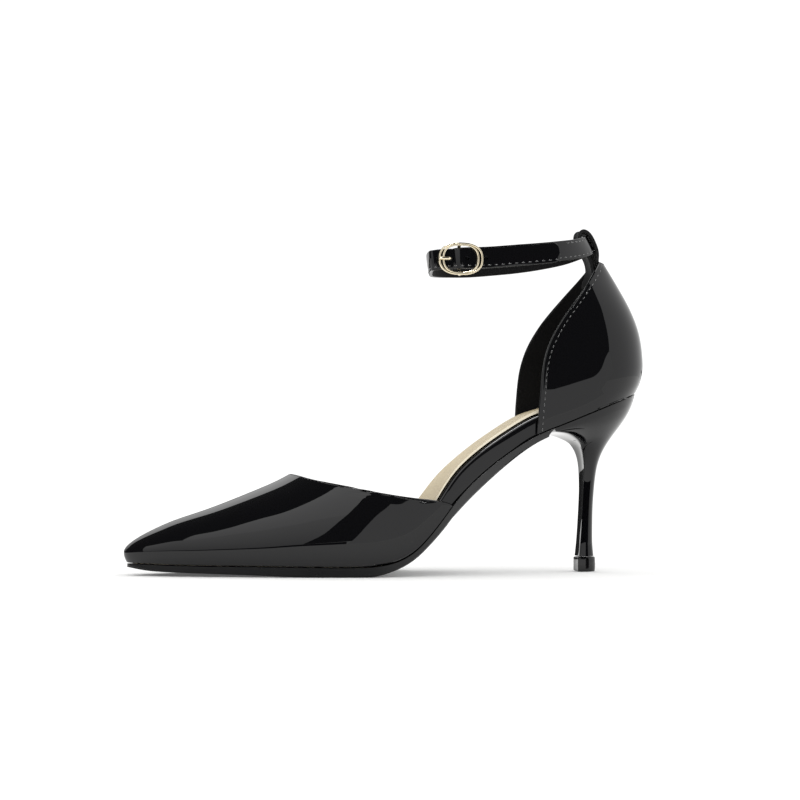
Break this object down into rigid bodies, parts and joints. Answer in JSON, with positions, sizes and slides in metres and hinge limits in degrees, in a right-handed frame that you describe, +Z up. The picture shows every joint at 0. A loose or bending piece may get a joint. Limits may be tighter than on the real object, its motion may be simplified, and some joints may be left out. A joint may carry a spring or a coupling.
{
  "type": "high heel shoe",
  "caption": "Pointed two-piece pump in black patent leather with a slim high heel, a separate hollow vamp and heel counter, and a buckled ankle strap.",
  "frame": {"origin": "floor under the middle of the shoe's bounding box", "axes": "+X from the toe to the heel, -Y the outer side with the buckle, +Z up from the floor"},
  "size_m": [0.2317, 0.0759, 0.1532],
  "materials": {
    "sole": "satin",
    "patent": "high gloss patent",
    "sock": "matt",
    "heel_lacquer": "gloss lacquer",
    "heel_tip": "satin",
    "matte_leather": "matt",
    "gold": "polished pale gold"
  },
  "bodies": {
    "root": {"outsole": "sole", "vamp": "patent", "heel_counter": "patent", "waist_rand": "patent", "insole": "sock", "heel": "heel_lacquer", "top_piece": "heel_tip", "strap_loop": "matte_leather", "ankle_strap": "patent", "buckle_frame": "gold", "buckle_prong": "gold"}
  },
  "joints": []
}
